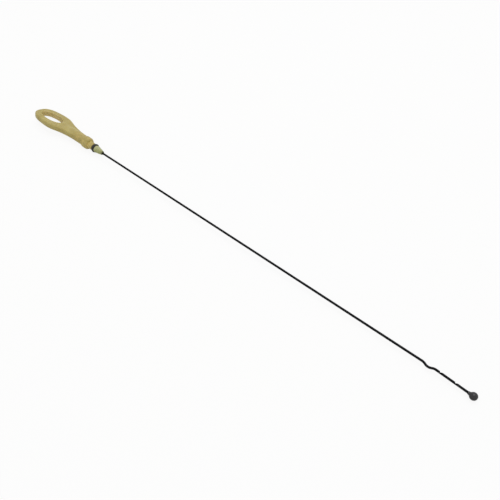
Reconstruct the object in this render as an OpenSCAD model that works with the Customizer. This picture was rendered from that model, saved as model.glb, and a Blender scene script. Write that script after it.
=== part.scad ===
// Engine oil dipstick: a moulded loop handle with a sealed plug, a sprung wire with two level
// notches, and a round end. It lies on its side as it comes to rest on a level surface.
// Origin: centre of the collar's seating face. +X runs towards the tip, +Z is up.

/* [Loop of the handle] */
// From the seating face back to the widest point of the loop
loop_reach = 70; // [66:1:76]
// Width of the loop across its widest point
loop_w = 32.6; // [31:0.2:34.6]
// From the widest point to the very end of the loop
loop_tail = 23.5; // [22:0.5:25.5]
// Radius of the round end of the loop
loop_end_r = 13; // [12:0.5:14]
// Angle between each side of the handle and its centre line
arm_angle = 12; // [11:0.5:13]
// Thickness of the loop
loop_t = 5.8; // [5:0.1:6.6]
// Rounding of the loop's outer edges
edge_r = 2; // [1:0.1:2.4]

/* [Finger hole] */
// Length of the oval hole
hole_l = 26.5; // [22:0.5:30]
// Width of the oval hole
hole_w = 16.8; // [14:0.1:19]
// Radius of the oval hole at its two ends
hole_end_r = 6; // [5:0.1:6.5]
// Material left between the hole and the end of the loop
end_web = 9.8; // [8.2:0.2:11]
// Rounding of the hole's lips
lip_r = 1.8; // [0.8:0.1:2]

/* [Neck and collar] */
// Diameter of the round neck
neck_d = 10; // [9:0.1:11]
// From the collar to where the neck starts to flatten
neck_l = 18; // [12:1:24]
// Length over which the round neck sinks into the flat of the loop
neck_fade_l = 26; // [18:1:30]
// Diameter of the collar
collar_d = 13.6; // [12.6:0.1:15]
// Length of the collar
collar_l = 8; // [6:0.5:10]
// Rounding of the collar's edge towards the tube
collar_front_r = 1.8; // [0.8:0.1:2]
// Rounding of the collar's edge towards the loop
collar_back_r = 2.4; // [1:0.1:3]

/* [Plug and nose] */
// Diameter of the plug between the collar and the seal
plug_d = 8.4; // [8:0.1:9]
// From the seating face to the middle of the seal
seal_reach = 9.6; // [8.4:0.2:12]
// Diameter of the guide land in front of the seal
land_d = 8; // [7.4:0.1:8.4]
// Length of the guide land
land_l = 2.4; // [2:0.1:4]
// Length of the tapered nose
nose_l = 9.4; // [8:0.2:14]
// Diameter of the nose where the wire comes out
nose_tip_d = 4.2; // [3.6:0.1:5]

/* [Seal] */
// Thickness of the sealing ring's round section
ring_section = 2.4; // [2:0.1:2.6]
// Outer diameter of the sealing ring in its groove
ring_od = 10; // [9.6:0.1:10.6]
// Side play of the ring in its groove
groove_play = 0.3; // [0.1:0.1:0.6]

/* [Wire] */
// Diameter of the wire
wire_d = 2.2; // [1.8:0.1:2.6]
// Straight wire from the bend at the nose to the bend at the marks
wire_run = 398; // [300:2:480]
// Angle by which the wire leaves the handle's centre line
wire_lean = 2.2; // [0.5:0.1:3]
// Radius of the bend where the wire leaves the nose
exit_bend_r = 25; // [15:1:40]
// Wire held inside the handle, behind the end of the nose
anchor_l = 41; // [30:1:50]
// Length of the flattened end that stops the wire from turning and pulling out
spade_l = 7; // [5:0.5:9]
// Width of the flattened end
spade_w = 3.6; // [3:0.1:4.4]
// Thickness of the flattened end
spade_t = 1.2; // [0.8:0.1:1.5]

/* [Level marks] */
// Depth of the bend that announces the marked stretch
kink_depth = 1.55; // [1.2:0.05:2]
// Slope of the sides of that bend
kink_angle = 24; // [20:1:28]
// Straight flank on each side of that bend
kink_flank = 1; // [0.4:0.1:1.4]
// Angle of the marked stretch from the wire's line
gauge_lean = 2.4; // [0:0.1:3]
// From the end of the bend to the first notch
first_mark = 3.6; // [2:0.2:10]
// From the first notch, full, to the second, low
mark_gap = 14; // [10:0.5:24]
// From the second notch to the middle of the end ball
last_mark = 16.6; // [13:0.2:24]
// Depth of a notch
mark_depth = 1; // [0.5:0.1:1.2]
// Length of a notch's sloping floor
mark_ramp = 2; // [1:0.1:3]
// Length of a notch's steep side
mark_step = 0.5; // [0.1:0.1:1]
// Angle by which the notched side is turned from the flat of the loop
mark_turn = 45; // [0:5:60]

/* [End ball] */
// Diameter of the ball
ball_d = 7; // [6:0.1:7.4]
// Length of the ball's flared neck, from the middle of the ball
ball_neck_l = 5; // [4.6:0.2:7]
// Diameter of that neck where it meets the wire
ball_neck_d = 2.6; // [2.5:0.1:3.2]
// How far the wire reaches past the middle of the ball
ball_grip = 1.5; // [0:0.1:2]

/* [Fits] */
// Gap all round the wire where it is moulded in
moulded_gap = 0.02; // [0.01:0.01:0.05]

/* [Hidden] */
$fn = 64;

// Loop outline: one end arc, two side arcs tangent to it, and two straight sides
loop_half = loop_w / 2;
loop_back = loop_tail - loop_end_r;
side_r = (pow(loop_back, 2) + pow(loop_half, 2) - pow(loop_end_r, 2)) / (2 * (loop_half - loop_end_r));
side_y = side_r - loop_half;
end_turn = atan2(side_y, loop_back);
end_lap = 1;
end_inset = 0.03;
side_start = 90 - arm_angle;
side_sweep = 180 - end_turn - side_start;
side_start_x = loop_reach - side_r * sin(arm_angle);

// Hole outline: the same kind of oval, centred on the handle's line
hole_x = loop_reach + loop_tail - end_web - hole_l / 2;
hole_half = hole_w / 2;
hole_back = hole_l / 2 - hole_end_r;
hole_side_r = (pow(hole_back, 2) + pow(hole_half, 2) - pow(hole_end_r, 2)) / (2 * (hole_half - hole_end_r));
hole_side_y = hole_side_r - hole_half;
hole_end_turn = atan2(hole_side_y, hole_back);
lip_cut = lip_r + 0.4;
end_cut = lip_cut + 0.1;
lip_band = lip_r + 1;
cut_join_x = hole_back + (hole_end_r + lip_cut) * cos(hole_end_turn);

// Turned stretch of the handle
neck_r = neck_d / 2;
neck_end = collar_l + neck_l;
fade_end = neck_end + neck_fade_l;
fade_r = loop_t / 2 - 0.6;
collar_r = collar_d / 2;
plug_r = plug_d / 2;
land_r = land_d / 2;
groove_w = ring_section + groove_play;
groove_start = seal_reach - groove_w / 2;
groove_end = seal_reach + groove_w / 2;
groove_r = ring_od / 2 - ring_section;
nose_start = groove_end + land_l;
nose_end = nose_start + nose_l;
nose_tip_r = nose_tip_d / 2;
nose_round = 0.5;

// Wire: straight through the nose, a small bend, the long run, the kink and the marked stretch
wire_r = wire_d / 2;
bore_r = wire_r + moulded_gap;
exit_start = nose_end + 0.4;
anchor_start = nose_end - anchor_l;
lap = 0.05;
bend_wire_r = wire_r - 0.005;
kink_r = (kink_depth - kink_flank * sin(kink_angle)) / (2 * (1 - cos(kink_angle)));
gauge_l = first_mark + mark_gap + last_mark;
ball_r = ball_d / 2;

// Middle of the ball in the handle's own frame
run_end_x = exit_start + exit_bend_r * sin(wire_lean) + wire_run * cos(wire_lean);
run_end_y = exit_bend_r * (1 - cos(wire_lean)) + wire_run * sin(wire_lean);
kink_l = 4 * kink_r * sin(kink_angle) + 2 * kink_flank * cos(kink_angle) + kink_r * sin(gauge_lean);
tip_x = kink_l + gauge_l * cos(gauge_lean);
tip_y = kink_r * (1 - cos(gauge_lean)) + gauge_l * sin(gauge_lean);
ball_x = run_end_x + tip_x * cos(wire_lean) + tip_y * cos(mark_turn) * sin(wire_lean);
ball_y = run_end_y + tip_x * sin(wire_lean) - tip_y * cos(mark_turn) * cos(wire_lean);
ball_z = -tip_y * sin(mark_turn);

// Rest on a level surface: the collar, the ball and one edge of the loop touch it
span_x = ball_x + collar_l / 2;
span = norm([span_x, ball_y, ball_z]);
rest_yaw = atan2(ball_y, span_x);
rest_level = atan2(ball_z, norm([span_x, ball_y]));
rest_pitch = asin((collar_r - ball_r) / span);
loop_x = loop_reach - collar_l / 2;
edge_out = loop_reach * sin(rest_yaw) + loop_half - edge_r;
edge_down = loop_t / 2 - edge_r - loop_x * sin(rest_level);
edge_rise = collar_r + loop_x * sin(rest_pitch) - edge_r;
rest_roll = asin(edge_rise / norm([edge_out, edge_down])) - atan2(edge_down, edge_out);

// Puts a piece from the handle's own frame into the pose in which the dipstick lies
module lying() {
    rotate([0, rest_pitch, 0])
        rotate([-rest_roll, 0, 0])
            rotate([0, rest_level, -rest_yaw])
                children();
}

// Section of the loop near its outer edge: a flat slab with two rounded corners at radius r
module edge_section(r, depth, inset = 0) {
    translate([r - depth, inset - loop_t / 2])
        square([depth - edge_r, loop_t - 2 * inset]);
    translate([r - depth, edge_r - loop_t / 2])
        square([depth - inset, loop_t - 2 * edge_r]);
    for (side = [-1, 1])
        translate([r - edge_r, side * (loop_t / 2 - edge_r)])
            circle(r = edge_r - inset);
}

// One straight side of the handle, as a slab wider than the handle with one rounded edge
module arm_slab() {
    translate([-loop_reach, -side_y, 0])
        rotate([0, 0, side_start])
            translate([side_r, 0, 0])
                rotate([90, 0, 0])
                    linear_extrude(side_start_x - collar_l / 2)
                        edge_section(0, loop_w * 1.3);
}

// One bowed side of the loop
module loop_side() {
    translate([-loop_reach, -side_y, 0])
        rotate([0, 0, side_start])
            rotate_extrude(angle = side_sweep, $fn = 128)
                edge_section(side_r, loop_end_r);
}

// Round end of the loop, a hair thinner than its sides and lapped into them
module loop_end() {
    translate([-loop_reach - loop_back, 0, 0])
        rotate([0, 0, 180 - end_turn - end_lap])
            rotate_extrude(angle = 2 * (end_turn + end_lap), $fn = 96)
                edge_section(loop_end_r, loop_end_r, end_inset);
}

module loop_blank() {
    loop_end();
    for (flip = [0, 1])
        mirror([0, flip, 0])
            loop_side();
    intersection() {
        arm_slab();
        mirror([0, 1, 0])
            arm_slab();
    }
}

// Straight-walled oval, wider all round than the finger hole by what the rounded lip takes,
// and a hair more at its two ends
module hole_cut() {
    intersection() {
        cube([2 * cut_join_x, hole_w + 2 * lip_cut, 2 * loop_t], center = true);
        translate([0, -hole_side_y, 0])
            cylinder(r = hole_side_r + lip_cut, h = 2 * loop_t, center = true, $fn = 128);
        translate([0, hole_side_y, 0])
            cylinder(r = hole_side_r + lip_cut, h = 2 * loop_t, center = true, $fn = 128);
    }
    for (side = [-1, 1])
        translate([side * hole_back, 0, 0])
            cylinder(r = hole_end_r + end_cut, h = 2 * loop_t, center = true);
}

// Section of the rounded lip round the finger hole, whose wall is at radius r
module lip_section(r, inset = 0) {
    translate([r + lip_r, inset - loop_t / 2])
        square([lip_band - lip_r, loop_t - 2 * inset]);
    translate([r + inset, lip_r - loop_t / 2])
        square([lip_band - inset, loop_t - 2 * lip_r]);
    for (side = [-1, 1])
        translate([r + lip_r, side * (loop_t / 2 - lip_r)])
            circle(r = lip_r - inset);
}

// Rounded lip, in four arcs; those at the ends are a hair thinner and lapped into the others
module hole_lip() {
    for (turn = [0, 180])
        rotate([0, 0, turn]) {
            translate([hole_back, 0, 0])
                rotate([0, 0, -hole_end_turn - end_lap])
                    rotate_extrude(angle = 2 * (hole_end_turn + end_lap))
                        lip_section(hole_end_r, end_inset);
            translate([0, -hole_side_y, 0])
                rotate([0, 0, hole_end_turn])
                    rotate_extrude(angle = 180 - 2 * hole_end_turn, $fn = 128)
                        lip_section(hole_side_r);
        }
}

// Round neck that sinks into the flat of the loop
module neck() {
    rotate([0, -90, 0])
        rotate_extrude()
            polygon([[0, collar_l / 2], [neck_r, collar_l / 2], [neck_r, neck_end],
                     [fade_r, fade_end], [0, fade_end]]);
}

// Collar that stops on the mouth of the dipstick tube
module collar() {
    rotate([0, -90, 0])
        rotate_extrude() {
            square([collar_r - collar_front_r, collar_l - collar_back_r]);
            translate([0, collar_front_r])
                square([collar_r, collar_l - collar_front_r - collar_back_r]);
            square([collar_r - collar_back_r, collar_l]);
            translate([collar_r - collar_front_r, collar_front_r])
                circle(r = collar_front_r);
            translate([collar_r - collar_back_r, collar_l - collar_back_r])
                circle(r = collar_back_r);
        }
}

// Plug with its seal groove, guide land and tapered nose
module plug() {
    rotate([0, 90, 0])
        rotate_extrude()
            polygon([[0, -collar_l / 2], [plug_r, -collar_l / 2], [plug_r, groove_start],
                     [groove_r, groove_start], [groove_r, groove_end], [land_r, groove_end],
                     [land_r, nose_start], [nose_tip_r, nose_end - nose_round],
                     [nose_tip_r - nose_round, nose_end], [0, nose_end]]);
}

// Room for the moulded-in wire and its flattened end
module wire_room() {
    translate([anchor_start, 0, 0])
        rotate([0, 90, 0])
            cylinder(r = bore_r, h = anchor_l + 1);
    translate([anchor_start - moulded_gap, -spade_w / 2 - moulded_gap, -spade_t / 2 - moulded_gap])
        cube([spade_l + 2 * moulded_gap, spade_w + 2 * moulded_gap, spade_t + 2 * moulded_gap]);
}

module handle() {
    color("#b0a268")
        lying()
            difference() {
                union() {
                    difference() {
                        loop_blank();
                        translate([-hole_x, 0, 0])
                            hole_cut();
                    }
                    translate([-hole_x, 0, 0])
                        hole_lip();
                    neck();
                    collar();
                    plug();
                }
                wire_room();
            }
}

// Sealing ring in its groove
module o_ring() {
    color("#1b1a18")
        lying()
            translate([seal_reach, 0, 0])
                rotate([0, 90, 0])
                    rotate_extrude()
                        translate([(ring_od - ring_section) / 2, 0])
                            circle(d = ring_section);
}

// A length of straight wire, which laps into the bends at its ends, and what follows it
module straight(length, solid = true) {
    if (solid)
        translate([-lap, 0, 0])
            rotate([0, 90, 0])
                cylinder(r = wire_r, h = length + 2 * lap);
    translate([length, 0, 0])
        children();
}

// A bend of the wire towards +Y for side 1 or -Y for side -1, and what follows it
module bend(radius, angle, side, solid = true) {
    if (solid)
        translate([0, side * radius, 0])
            rotate([0, 0, side > 0 ? -90 : 90 - angle])
                rotate_extrude(angle = angle, $fn = 96)
                    translate([radius, 0])
                        circle(r = bend_wire_r);
    translate([radius * sin(angle), side * radius * (1 - cos(angle)), 0])
        rotate([0, 0, side * angle])
            children();
}

// The wire from the end of the nose to the start of the marked stretch, and what follows it
module wire_course(solid = true) {
    translate([exit_start, 0, 0])
        bend(exit_bend_r, wire_lean, 1, solid)
            straight(wire_run, solid)
                rotate([mark_turn, 0, 0])
                    bend(kink_r, kink_angle, -1, solid)
                        straight(kink_flank, solid)
                            bend(kink_r, 2 * kink_angle, 1, solid)
                                straight(kink_flank, solid)
                                    bend(kink_r, kink_angle + gauge_lean, -1, solid)
                                        children();
}

// Saw-tooth notch with its lowest point at the mark, cut from the +Y side
module notch() {
    translate([0, wire_r - mark_depth, 0])
        linear_extrude(2 * wire_d, center = true)
            polygon([[0, 0], [mark_ramp, mark_depth], [mark_ramp, mark_depth + 1],
                     [-mark_step, mark_depth + 1], [-mark_step, mark_depth]]);
}

// The stretch on which the oil level is read
module gauge() {
    difference() {
        straight(gauge_l + ball_grip);
        for (place = [first_mark, first_mark + mark_gap])
            translate([place, 0, 0])
                notch();
    }
}

// Flattened end of the wire inside the handle, and the round wire through the plug
module anchor() {
    translate([anchor_start, -spade_w / 2, -spade_t / 2])
        cube([spade_l, spade_w, spade_t]);
    translate([anchor_start + spade_l - 1, 0, 0])
        straight(anchor_l - spade_l + 1 + exit_start - nose_end);
}

module wire() {
    color("#2e3030")
        lying() {
            anchor();
            wire_course()
                gauge();
        }
}

// Round end with a flared neck, pressed on the end of the wire
module end_ball() {
    color("#1f2022")
        lying()
            wire_course(solid = false)
                translate([gauge_l, 0, 0])
                    difference() {
                        union() {
                            sphere(r = ball_r);
                            rotate([0, 90, 0])
                                rotate_extrude()
                                    polygon([[0, -ball_neck_l], [ball_neck_d / 2, -ball_neck_l],
                                             [ball_neck_d / 2 + 0.3, -ball_r],
                                             [ball_r * 0.78, -ball_r * 0.57], [0, -ball_r * 0.57]]);
                        }
                        translate([-ball_neck_l - 1, 0, 0])
                            rotate([0, 90, 0])
                                cylinder(r = bore_r, h = ball_neck_l + 1 + ball_grip + lap + moulded_gap);
                    }
}

handle();
o_ring();
wire();
end_ball();
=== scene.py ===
from itertools import product
from math import cos, pi, radians, sin

import bpy
import numpy as np
from mathutils import Matrix, Vector


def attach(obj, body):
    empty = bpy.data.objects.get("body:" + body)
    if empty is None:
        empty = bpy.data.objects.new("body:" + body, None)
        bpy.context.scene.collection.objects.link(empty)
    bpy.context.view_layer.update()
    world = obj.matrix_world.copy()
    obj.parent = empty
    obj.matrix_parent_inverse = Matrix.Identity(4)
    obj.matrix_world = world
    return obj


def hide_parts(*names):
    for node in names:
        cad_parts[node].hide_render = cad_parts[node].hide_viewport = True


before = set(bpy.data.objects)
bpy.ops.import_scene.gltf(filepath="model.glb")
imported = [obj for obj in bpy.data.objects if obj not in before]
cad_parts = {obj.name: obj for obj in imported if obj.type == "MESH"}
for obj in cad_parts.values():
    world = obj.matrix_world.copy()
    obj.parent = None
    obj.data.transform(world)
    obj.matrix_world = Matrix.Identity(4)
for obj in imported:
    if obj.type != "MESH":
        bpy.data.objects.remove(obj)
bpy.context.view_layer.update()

MM = 0.001

# Angles in degrees that lay the dipstick on its collar, its ball and one edge of the loop
REST_PITCH = 0.3996
REST_ROLL = 14.772
REST_LEVEL = -0.1231
REST_YAW = 1.9484
LYING = (Matrix.Rotation(radians(REST_PITCH), 4, "Y") @ Matrix.Rotation(-radians(REST_ROLL), 4, "X")
         @ Matrix.Rotation(radians(REST_LEVEL), 4, "Y") @ Matrix.Rotation(-radians(REST_YAW), 4, "Z"))

# The handle's sizes are in millimetres, in its own frame: seat at X = 0, +X to the tip, Z across the
# flat. Loop: half-widths at distances behind the seat, and how far it leans to one side for each
# millimetre behind the neck
OUTLINE = [(2, 5), (16, 5.9), (30, 7.5), (40, 9.3), (47, 11.5), (53, 13.6), (59, 14.7), (66, 14.7),
           (73, 14.1), (79, 13.3), (84.5, 12), (88.7, 9.8), (91.6, 6.7), (92.9, 2.8)]
LEAN = 0.045
LEAN_START = 45
LOOP_T = 6.4
EDGE_R = 1.7
HOLE_MIDDLE = 69.6
HOLE_HALF_L = 16.4
HOLE_HALF_W = 7.3
LIP_R = 0.6

# Neck, which thins out into the loop, and collar. A melt is the hollow left where two forms join
NECK_R = 5.1
NECK_L = 18
NECK_LAP = 2
NECK_MELT = 3
FADE_L = 30
FADE_R = 2.2
COLLAR_R = 6.78
COLLAR_L = 8.4
COLLAR_FRONT_R = 3.1
COLLAR_BACK_R = 0.8
COLLAR_MELT = 0.3

# Plug in front of the seat: seal groove, guide land, tapered nose and the wire's bore. Its hidden
# length is what runs on inside the collar
PLUG_R = 4.2
PLUG_EDGE = 0.2
GROOVE_START = 8.25
GROOVE_END = 10.95
GROOVE_R = 2.6
LAND_R = 4
LAND_EDGE = 0.15
LAND_END = 13.2
TAPER_LEAD = 0.3
TAPER_DROP = 0.07
NOSE_END = 22.75
NOSE_R = 2.18
BORE_R = 1.14
BORE_BACK = 10
HIDDEN_L = 3
HIDDEN_R = 0.5

# How the nose's end is rounded, as distances back from the end and in from the side, and how the
# bore opens at its mouth, as distances back from the end and out from the bore
NOSE_ROUNDING = [(0.65, 0), (0.25, 0.18), (0.03, 0.43), (0, 0.68)]
BORE_MOUTH = [(0.35, 0.21), (0.85, 0)]

# Meshes. The grip's skin is looked for between the two corners of the field, in millimetres
FIELD_LOW = (-94.6, -17.4, -7.6)
FIELD_HIGH = (1.0, 17.4, 7.6)
SKIN_STEP = 0.4
SMOOTHING_ROUNDS = 4
SETTLING_ROUNDS = 2
SETTLING_SHARE = 0.9
OVAL_POINTS = 160
PLUG_SIDES = 96
SHARP_EDGE = radians(40)

# Room, in metres
FLOOR_Z = -6.815 * MM
FLOOR_HALF = 4

# Settings that several nodes share
SOFT = {"interpolation_type": "SMOOTHSTEP"}
RGBA = {"data_type": "RGBA"}


# Colours and nodes

def colour(hex_code):
    """An sRGB hex colour, turned to the linear one that a node socket takes."""
    parts = [int(hex_code[i:i + 2], 16) / 255 for i in (1, 3, 5)]
    return [c / 12.92 if c <= 0.04045 else ((c + 0.055) / 1.055) ** 2.4 for c in parts] + [1.0]


def spaced(mm):
    """Scale of a noise whose patches lie about so many millimetres apart."""
    return 1 / (mm * MM)


def node(tree, kind, settings=None, **links):
    """Adds a node. settings are its own properties, with a colour ramp's positions and hex colours
    as stops. links fill its inputs by name, or by number after an underscore."""
    made = tree.nodes.new(kind)
    for name, value in (settings or {}).items():
        if name == "stops":
            for _ in value[2:]:
                made.color_ramp.elements.new(0.5)
            for element, (position, hex_code) in zip(made.color_ramp.elements, value):
                element.position, element.color = position, colour(hex_code)
        else:
            setattr(made, name, value)
    for name, value in links.items():
        socket = made.inputs[int(name[1:]) if name[1:].isdigit() else name.replace("_", " ")]
        if isinstance(value, bpy.types.NodeSocket):
            tree.links.new(value, socket)
        else:
            socket.default_value = value
    return made


def new_finish(name):
    """An empty material, its node tree, its shader and the point that patterns are drawn from."""
    material = bpy.data.materials.new(name)
    material.use_nodes = True
    tree = material.node_tree
    shader = tree.nodes["Principled BSDF"]
    place = node(tree, "ShaderNodeTexCoord").outputs["Object"]
    return material, tree, shader, place


# Finishes

def moulded_nylon():
    """Natural nylon, injection moulded: cream that heat and oil have turned yellow, satin, with
    cloudy patches and a greener nose that dips in oil. Painted shade turns the groove round the
    sealing ring black and darkens the nose's end round the wire, and painted light makes the hole's wall
    paler."""
    material, tree, shader, place = new_finish("moulded_nylon")
    place = node(tree, "ShaderNodeMapping", Vector=place, Rotation=LYING.inverted().to_euler()).outputs[0]
    axis = node(tree, "ShaderNodeSeparateXYZ", Vector=place)
    clouds = node(tree, "ShaderNodeTexNoise", Vector=place, Scale=spaced(14.3), Detail=3.0, Roughness=0.5)
    cream = node(tree, "ShaderNodeValToRGB",
                 {"stops": [(0.32, "#A6944D"), (0.5, "#AF9E57"), (0.68, "#B8A963")]},
                 Fac=clouds.outputs["Fac"])

    # Warmer patches, thickest at the collar, where the engine's heat comes up
    patches = node(tree, "ShaderNodeTexNoise", Vector=place, Scale=spaced(8), Detail=2.0, Roughness=0.6)
    near_collar = node(tree, "ShaderNodeMapRange", SOFT, Value=axis.outputs["X"],
                       From_Min=-30 * MM, From_Max=-6 * MM, To_Min=0.0, To_Max=0.55)
    past_seat = node(tree, "ShaderNodeMapRange", SOFT, Value=axis.outputs["X"],
                     From_Min=0.0, From_Max=10 * MM, To_Min=1.0, To_Max=0.0)
    spots = node(tree, "ShaderNodeMapRange", SOFT, Value=patches.outputs["Fac"],
                 From_Min=0.42, From_Max=0.62, To_Min=0.0, To_Max=1.0)
    warm_zone = node(tree, "ShaderNodeMath", {"operation": "MULTIPLY"},
                     _0=near_collar.outputs[0], _1=past_seat.outputs[0])
    warmth = node(tree, "ShaderNodeMath", {"operation": "MULTIPLY"},
                  _0=warm_zone.outputs[0], _1=spots.outputs[0])
    warmed = node(tree, "ShaderNodeMix", RGBA, _0=warmth.outputs[0], _6=cream.outputs[0],
                  _7=colour("#D4B86C"))

    # Painted light: the hole's wall is painted paler as far as the lip, lifting it out of its shade
    hole_aside = LEAN * (HOLE_MIDDLE - LEAN_START) * MM
    from_hole = node(tree, "ShaderNodeVectorMath", {"operation": "ADD"}, _0=place,
                     _1=(HOLE_MIDDLE * MM, hole_aside, 0))
    in_hole = node(tree, "ShaderNodeVectorMath", {"operation": "MULTIPLY"}, _0=from_hole.outputs[0],
                   _1=(1 / (HOLE_HALF_L * MM), 1 / (HOLE_HALF_W * MM), 0))
    reach = node(tree, "ShaderNodeVectorMath", {"operation": "LENGTH"}, _0=in_hole.outputs[0])
    wear_and_painted_light = node(tree, "ShaderNodeMapRange", SOFT, Value=reach.outputs["Value"],
                  From_Min=1.0, From_Max=1.08, To_Min=0.7, To_Max=0.0)
    hole_wall_painted_paler = node(tree, "ShaderNodeMix", RGBA, _0=wear_and_painted_light.outputs[0], _6=warmed.outputs[2],
                 _7=colour("#DCC688"))

    # Oil in the nose, and painted shade that darkens its end where the wire leaves it
    dipped = node(tree, "ShaderNodeMapRange", SOFT, Value=axis.outputs["X"],
                  From_Min=9.5 * MM, From_Max=12 * MM, To_Min=0.0, To_Max=0.9)
    oil = node(tree, "ShaderNodeValToRGB",
               {"stops": [(0.35, "#8F9450"), (0.5, "#A3A870"), (0.65, "#B3B587")]},
               Fac=patches.outputs["Fac"])
    oiled = node(tree, "ShaderNodeMix", RGBA, _0=dipped.outputs[0], _6=hole_wall_painted_paler.outputs[2],
                 _7=oil.outputs[0])
    # Painted shade round the wire's exit at the nose's end
    painted_shade_at_wire_exit = node(tree, "ShaderNodeMapRange", SOFT, Value=axis.outputs["X"],
                     From_Min=20.5 * MM, From_Max=22.6 * MM, To_Min=0.0, To_Max=0.75)
    nose_end_painted_dark = node(tree, "ShaderNodeMix", RGBA, _0=painted_shade_at_wire_exit.outputs[0], _6=oiled.outputs[2],
                    _7=colour("#4A4A22"))

    # Painted shade, black, in the groove on both sides of the sealing ring, thinning out on the plug
    from_ring = node(tree, "ShaderNodeMath", {"operation": "SUBTRACT"}, _0=axis.outputs["X"], _1=9.4 * MM)
    aside = node(tree, "ShaderNodeMath", {"operation": "ABSOLUTE"}, _0=from_ring.outputs[0])
    painted_groove_shade = node(tree, "ShaderNodeMapRange", SOFT, Value=aside.outputs[0],
                 From_Min=1.7 * MM, From_Max=2.6 * MM, To_Min=0.95, To_Max=0.0)
    groove_painted_black = node(tree, "ShaderNodeMix", RGBA, _0=painted_groove_shade.outputs[0], _6=nose_end_painted_dark.outputs[2],
                     _7=colour("#1C180F"))
    tree.links.new(groove_painted_black.outputs[2], shader.inputs["Base Color"])

    # Satin skin with soft ripples and the mould's parting line. The grain is drawn at 0.7 mm, which
    # is coarser than the real one, so that it shows
    dull = node(tree, "ShaderNodeMapRange", Value=patches.outputs["Fac"],
                From_Min=0.3, From_Max=0.7, To_Min=0.4, To_Max=0.56)
    tree.links.new(dull.outputs[0], shader.inputs["Roughness"])
    ripples = node(tree, "ShaderNodeTexNoise", Vector=place, Scale=spaced(3.03), Detail=1.0)
    rippled = node(tree, "ShaderNodeBump", Strength=0.25, Distance=0.15 * MM, Height=ripples.outputs["Fac"])
    height = node(tree, "ShaderNodeMath", {"operation": "ABSOLUTE"}, _0=axis.outputs["Z"])
    parting = node(tree, "ShaderNodeMapRange", SOFT, Value=height.outputs[0],
                   From_Min=0.05 * MM, From_Max=0.28 * MM, To_Min=1.0, To_Max=0.0)
    parted = node(tree, "ShaderNodeBump", Strength=0.7, Distance=0.12 * MM, Height=parting.outputs[0],
                  Normal=rippled.outputs[0])
    grain = node(tree, "ShaderNodeTexNoise", Vector=place, Scale=spaced(0.714), Detail=2.0)
    grained = node(tree, "ShaderNodeBump", Strength=0.12, Distance=0.05 * MM, Height=grain.outputs["Fac"],
                   Normal=parted.outputs[0])
    tree.links.new(grained.outputs[0], shader.inputs["Normal"])
    shader.inputs["IOR"].default_value = 1.53
    shader.inputs["Subsurface Weight"].default_value = 0.12
    shader.inputs["Subsurface Radius"].default_value = (1.0, 0.7, 0.3)
    shader.inputs["Subsurface Scale"].default_value = 1.2 * MM
    return material


def oiled_rubber():
    """Black nitrile rubber, moulded, with a thin film of old oil: near black and dull, with a weak
    sheen where the film lies."""
    material, tree, shader, place = new_finish("oiled_rubber")
    film = node(tree, "ShaderNodeTexNoise", Vector=place, Scale=spaced(1.67), Detail=2.0)
    tone = node(tree, "ShaderNodeValToRGB", {"stops": [(0.35, "#080705"), (0.7, "#120F0A")]},
                Fac=film.outputs["Fac"])
    tree.links.new(tone.outputs[0], shader.inputs["Base Color"])
    wet = node(tree, "ShaderNodeMapRange", Value=film.outputs["Fac"],
               From_Min=0.35, From_Max=0.65, To_Min=0.5, To_Max=0.7)
    tree.links.new(wet.outputs[0], shader.inputs["Roughness"])
    shader.inputs["IOR"].default_value = 1.52
    return material


def black_oxide_steel():
    """Spring steel wire, drawn and then blackened hot: satin black with lines along it, worn
    greyer in places by the tube that it slides in. The lines are drawn 0.4 mm apart, coarser than
    the real ones, so that they show."""
    material, tree, shader, place = new_finish("black_oxide_steel")
    along = node(tree, "ShaderNodeVectorMath", {"operation": "MULTIPLY"}, _0=place, _1=(0.02, 1, 1))
    lines = node(tree, "ShaderNodeTexNoise", Vector=along.outputs[0], Scale=spaced(0.4), Detail=3.0,
                 Roughness=0.6)
    black = node(tree, "ShaderNodeValToRGB", {"stops": [(0.35, "#121314"), (0.7, "#1E1F20")]},
                 Fac=lines.outputs["Fac"])
    wear_and_painted_light = node(tree, "ShaderNodeTexNoise", Vector=place, Scale=spaced(22.2), Detail=4.0,
                  Roughness=0.65)
    worn = node(tree, "ShaderNodeMapRange", SOFT, Value=wear_and_painted_light.outputs["Fac"],
                From_Min=0.52, From_Max=0.7, To_Min=0.0, To_Max=0.7)
    greyed = node(tree, "ShaderNodeMix", RGBA, _0=worn.outputs[0], _6=black.outputs[0],
                  _7=colour("#28292A"))
    tree.links.new(greyed.outputs[2], shader.inputs["Base Color"])
    satin = node(tree, "ShaderNodeMapRange", Value=wear_and_painted_light.outputs["Fac"],
                 From_Min=0.3, From_Max=0.7, To_Min=0.5, To_Max=0.36)
    tree.links.new(satin.outputs[0], shader.inputs["Roughness"])
    drawn = node(tree, "ShaderNodeBump", Strength=0.3, Distance=0.02 * MM, Height=lines.outputs["Fac"])
    tree.links.new(drawn.outputs[0], shader.inputs["Normal"])
    shader.inputs["Metallic"].default_value = 1.0
    return material


def gloss_black_nylon():
    """Black nylon, moulded on the wire's end: even black, semi-gloss, with pale scuffs about 2 mm
    apart from the tube and the sump."""
    material, tree, shader, place = new_finish("gloss_black_nylon")
    scuffs = node(tree, "ShaderNodeTexNoise", Vector=place, Scale=spaced(2.38), Detail=4.0, Roughness=0.65)
    tone = node(tree, "ShaderNodeValToRGB",
                {"stops": [(0.4, "#040506"), (0.6, "#070809"), (0.72, "#111214")]},
                Fac=scuffs.outputs["Fac"])
    tree.links.new(tone.outputs[0], shader.inputs["Base Color"])
    shine = node(tree, "ShaderNodeMapRange", Value=scuffs.outputs["Fac"],
                 From_Min=0.4, From_Max=0.7, To_Min=0.24, To_Max=0.45)
    tree.links.new(shine.outputs[0], shader.inputs["Roughness"])
    shader.inputs["IOR"].default_value = 1.53
    return material


# Handle

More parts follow.
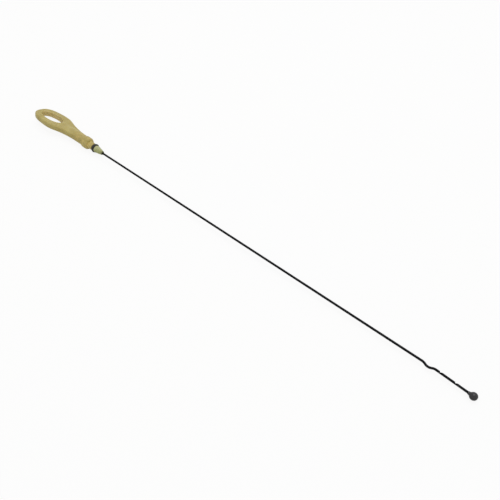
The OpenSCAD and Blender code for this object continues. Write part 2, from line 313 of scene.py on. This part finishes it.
def flowing(stations):
    """A smooth closed outline that follows half-widths at distances behind the seat, the same on
    both sides. Each round cuts the corners that the last one left."""
    points = np.array([(-x, w) for x, w in stations] + [(-x, -w) for x, w in reversed(stations)], float)
    for _ in range(SMOOTHING_ROUNDS):
        after = np.roll(points, -1, axis=0)
        points = np.stack([0.75 * points + 0.25 * after, 0.25 * points + 0.75 * after], 1).reshape(-1, 2)
    return points


def oval():
    """Outline of the finger hole."""
    turn = np.linspace(0, 2 * pi, OVAL_POINTS, endpoint=False)
    return np.stack([-HOLE_MIDDLE + HOLE_HALF_L * np.cos(turn), HOLE_HALF_W * np.sin(turn)], 1)


def leaning(line):
    """An outline that leans to one side behind the neck, as the loop does."""
    aside = LEAN * np.maximum(-line[:, 0] - LEAN_START, 0)
    return line - np.stack([np.zeros(len(line)), aside], 1)


def depth(outline, x, y):
    """How far each point of the flat lies from an outline, negative inside it."""
    x, y = x[..., None], y[..., None]
    ax, ay = outline.T
    bx, by = np.roll(outline, -1, axis=0).T
    along = np.clip(((x - ax) * (bx - ax) + (y - ay) * (by - ay)) / ((bx - ax) ** 2 + (by - ay) ** 2), 0, 1)
    gap = np.hypot(x - ax - along * (bx - ax), y - ay - along * (by - ay)).min(-1)
    crossed = ((ay > y) != (by > y)) & (x < ax + (y - ay) * (bx - ax) / np.where(by == ay, 1, by - ay))
    return np.where(crossed.sum(-1) % 2 == 1, -gap, gap)


def rounded_edge(side, face, radius):
    """Distance from a corner of the given radius, between a side wall and a face."""
    side, face = side + radius, face + radius
    outside = np.hypot(np.maximum(side, 0), np.maximum(face, 0))
    return np.minimum(np.maximum(side, face), 0) + outside - radius


def melted(a, b, melt):
    """Distance from two solids run together, with a hollow of about that size where they meet."""
    share = np.clip(0.5 + 0.5 * (b - a) / melt, 0, 1)
    return b + (a - b) * share - melt * share * (1 - share)


def grip_field(outer, hole, x, y, z):
    """Distance from the skin of the loop, neck and collar, negative in the plastic."""
    face = np.abs(z) - LOOP_T / 2
    loop = np.maximum(rounded_edge(outer, face, EDGE_R), rounded_edge(-hole, face, LIP_R))
    off_axis = np.hypot(y, z)
    neck_r = np.interp(-x, [NECK_L, NECK_L + FADE_L], [NECK_R, FADE_R])
    neck_ends = np.maximum(x + NECK_LAP, -x - NECK_L - FADE_L - NECK_LAP)
    neck = np.maximum(off_axis - neck_r, neck_ends)
    collar = rounded_edge(off_axis - COLLAR_R, np.abs(x + COLLAR_L / 2) - COLLAR_L / 2,
                          np.where(x < -COLLAR_L / 2, COLLAR_BACK_R, COLLAR_FRONT_R))
    return melted(melted(loop, neck, NECK_MELT), collar, COLLAR_MELT)


def skin(field, corner, step):
    """Vertices and quads of the surface where a field of distances changes sign. Each cell that the
    surface crosses gets one vertex, and each grid line that it crosses gets one quad."""
    shape = np.array(field.shape) - 1

    def at(i, j, k):
        return field[i:shape[0] + i, j:shape[1] + j, k:shape[2] + k]

    total, hits = np.zeros((*shape, 3)), np.zeros(shape)
    for axis, side in product(range(3), product((0, 1), repeat=2)):
        start = list(side)
        start.insert(axis, 0)
        end = list(start)
        end[axis] = 1
        a, b = at(*start), at(*end)
        cut = (a < 0) != (b < 0)
        part = np.where(cut, a / np.where(cut, a - b, 1), 0)
        for k in range(3):
            total[..., k] += cut * (part if k == axis else start[k])
        hits += cut
    used = hits > 0
    number = np.cumsum(used).reshape(shape) - 1
    spots = (np.argwhere(used) + total[used] / hits[used][:, None]) * step + corner

    quads = []
    for axis in range(3):
        u, v = [k for k in range(3) if k != axis]
        near, far = [slice(1, -1)] * 3, [slice(1, -1)] * 3
        near[axis], far[axis] = slice(0, -1), slice(1, None)
        a, b = field[tuple(near)], field[tuple(far)]
        for rising in (True, False):
            cells = np.argwhere(((a < 0) & (b >= 0)) if rising else ((a >= 0) & (b < 0)))
            cells[:, [u, v]] += 1
            ring = [(-1, -1), (0, -1), (0, 0), (-1, 0)]
            if rising != (axis != 1):
                ring.reverse()
            corners = []
            for du, dv in ring:
                cell = cells.copy()
                cell[:, u] += du
                cell[:, v] += dv
                corners.append(number[tuple(cell.T)])
            quads.append(np.stack(corners, 1))
    return spots, np.concatenate(quads)


def piece(name, spots, quads):
    """A smooth-shaded piece of the handle, given in millimetres in the handle's own frame."""
    mesh = bpy.data.meshes.new(name)
    mesh.from_pydata([LYING @ Vector(p) * MM for p in spots], [], [tuple(int(i) for i in q) for q in quads])
    mesh.shade_smooth()
    mesh.set_sharp_from_angle(angle=SHARP_EDGE)
    made = bpy.data.objects.new(name, mesh)
    bpy.context.scene.collection.objects.link(made)
    return made


def grip():
    """Loop, neck and collar as one moulding, with the soft joins that it has between them."""
    outer_line, hole_line = leaning(flowing(OUTLINE)), leaning(oval())
    low, high = np.array(FIELD_LOW), np.array(FIELD_HIGH)
    size = np.ceil((high - low) / SKIN_STEP).astype(int)
    x, y, z = [low[k] + SKIN_STEP * np.arange(size[k]) for k in range(3)]
    flat_x, flat_y = np.meshgrid(x, y, indexing="ij")
    outer, hole = depth(outer_line, flat_x, flat_y), depth(hole_line, flat_x, flat_y)
    field = grip_field(outer[..., None], hole[..., None], flat_x[..., None], flat_y[..., None], z)
    spots, quads = skin(field, low, SKIN_STEP)
    made = piece("grip", spots, quads)

    # The vertices settle onto the true surface, along their normals
    turn = np.array(LYING.to_3x3())
    normals = np.zeros(len(spots) * 3)
    made.data.vertex_normals.foreach_get("vector", normals)
    normals = normals.reshape(-1, 3) @ turn
    for _ in range(SETTLING_ROUNDS):
        x, y, z = spots.T
        off = grip_field(depth(outer_line, x, y), depth(hole_line, x, y), x, y, z)
        spots = spots - SETTLING_SHARE * off[:, None] * normals
    made.data.vertices.foreach_set("co", (spots @ turn.T * MM).ravel())
    return made


def plug():
    """Plug with its seal groove, guide land, rounded nose and bore, turned round the handle's line."""
    seal_side = [(-HIDDEN_L, HIDDEN_R), (-HIDDEN_L, PLUG_R), (GROOVE_START - PLUG_EDGE, PLUG_R),
                 (GROOVE_START, PLUG_R - PLUG_EDGE), (GROOVE_START, GROOVE_R), (GROOVE_END, GROOVE_R)]
    land = [(GROOVE_END, LAND_R - LAND_EDGE), (GROOVE_END + LAND_EDGE, LAND_R), (LAND_END, LAND_R),
            (LAND_END + TAPER_LEAD, LAND_R - TAPER_DROP)]
    nose = [(NOSE_END - back, NOSE_R - inward) for back, inward in NOSE_ROUNDING]
    mouth = [(NOSE_END - back, BORE_R + outward) for back, outward in BORE_MOUTH]
    profile = seal_side + land + nose + mouth + [(BORE_BACK, BORE_R)]

    turns = [2 * pi * k / PLUG_SIDES for k in range(PLUG_SIDES)]
    spots = [(x, r * cos(turn), r * sin(turn)) for x, r in profile for turn in turns]
    quads = []
    for row in range(len(profile) - 1):
        here, ahead = row * PLUG_SIDES, (row + 1) * PLUG_SIDES
        for k in range(PLUG_SIDES):
            beside = (k + 1) % PLUG_SIDES
            quads.append((here + k, here + beside, ahead + beside, ahead + k))
    return piece("plug", spots, quads)


# Floor, light and camera

def white_paper():
    """Matt white paper. The camera sees mostly its own white, and the rest is real light, which
    keeps the dipstick's shadow."""
    material, tree, shader, _ = new_finish("white_paper")
    shader.inputs["Base Color"].default_value = colour("#F4F4F2")
    shader.inputs["Roughness"].default_value = 0.9
    seen = node(tree, "ShaderNodeLightPath")
    white = node(tree, "ShaderNodeEmission", Strength=1.0)
    share = node(tree, "ShaderNodeMath", {"operation": "MULTIPLY"}, _0=seen.outputs["Is Camera Ray"], _1=0.9)
    both = node(tree, "ShaderNodeMixShader", _0=share.outputs[0], _1=shader.outputs[0], _2=white.outputs[0])
    tree.links.new(both.outputs[0], tree.nodes["Material Output"].inputs["Surface"])
    return material


def floor():
    """The paper that the dipstick lies on."""
    mesh = bpy.data.meshes.new("floor")
    corners = [(x * FLOOR_HALF, y * FLOOR_HALF, FLOOR_Z) for x, y in ((-1, -1), (1, -1), (1, 1), (-1, 1))]
    mesh.from_pydata(corners, [], [(0, 1, 2, 3)])
    mesh.materials.append(white_paper())
    made = bpy.data.objects.new("floor", mesh)
    bpy.context.scene.collection.objects.link(made)


def white_room():
    """An even room, which gives dim light and is white where it is seen, straight or in gloss."""
    world = bpy.data.worlds.new("white_room")
    world.use_nodes = True
    bpy.context.scene.world = world
    tree = world.node_tree
    seen = node(tree, "ShaderNodeLightPath")
    straight = node(tree, "ShaderNodeMath", {"operation": "MAXIMUM"},
                    _0=seen.outputs["Is Camera Ray"], _1=seen.outputs["Is Transmission Ray"])
    shown = node(tree, "ShaderNodeMath", {"operation": "MAXIMUM"},
                 _0=straight.outputs[0], _1=seen.outputs["Is Glossy Ray"])
    strength = node(tree, "ShaderNodeMapRange", Value=shown.outputs[0],
                    From_Min=0.0, From_Max=1.0, To_Min=0.6, To_Max=1.0)
    tree.links.new(strength.outputs["Result"], tree.nodes["Background"].inputs["Strength"])
    tree.nodes["Background"].inputs["Color"].default_value = (1, 1, 1, 1)


def overhead_softbox():
    """A wide lamp high above the dipstick, a little behind it."""
    lamp = bpy.data.lights.new("overhead", "AREA")
    lamp.size = 1.2
    lamp.energy = 7
    made = bpy.data.objects.new("overhead", lamp)
    made.location = (0.1, 0.3, 1.3)
    made.rotation_euler = (made.location - Vector((0.15, 0, 0))).to_track_quat("Z", "Y").to_euler()
    bpy.context.scene.collection.objects.link(made)


def camera():
    """The photograph's view: from above and in front of the ball's end, back towards the handle."""
    lens = bpy.data.cameras.new("camera")
    lens.sensor_width = 36
    lens.lens = 39.6
    made = bpy.data.objects.new("camera", lens)
    made.location = (0.44831, -0.28552, 0.39342)
    made.rotation_euler = (radians(41.87), radians(-2.78), radians(39.68))
    bpy.context.scene.collection.objects.link(made)
    bpy.context.scene.camera = made


nylon = moulded_nylon()
for made in (grip(), plug()):
    made.data.materials.append(nylon)
    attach(made, "root")
    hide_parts("handle")
finishes = {"o_ring": oiled_rubber, "wire": black_oxide_steel, "end_ball": gloss_black_nylon}
for name, finish in finishes.items():
    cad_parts[name].data.materials.clear()
    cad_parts[name].data.materials.append(finish())
floor()
white_room()
overhead_softbox()
camera()
bpy.context.scene.view_settings.view_transform = "Standard"
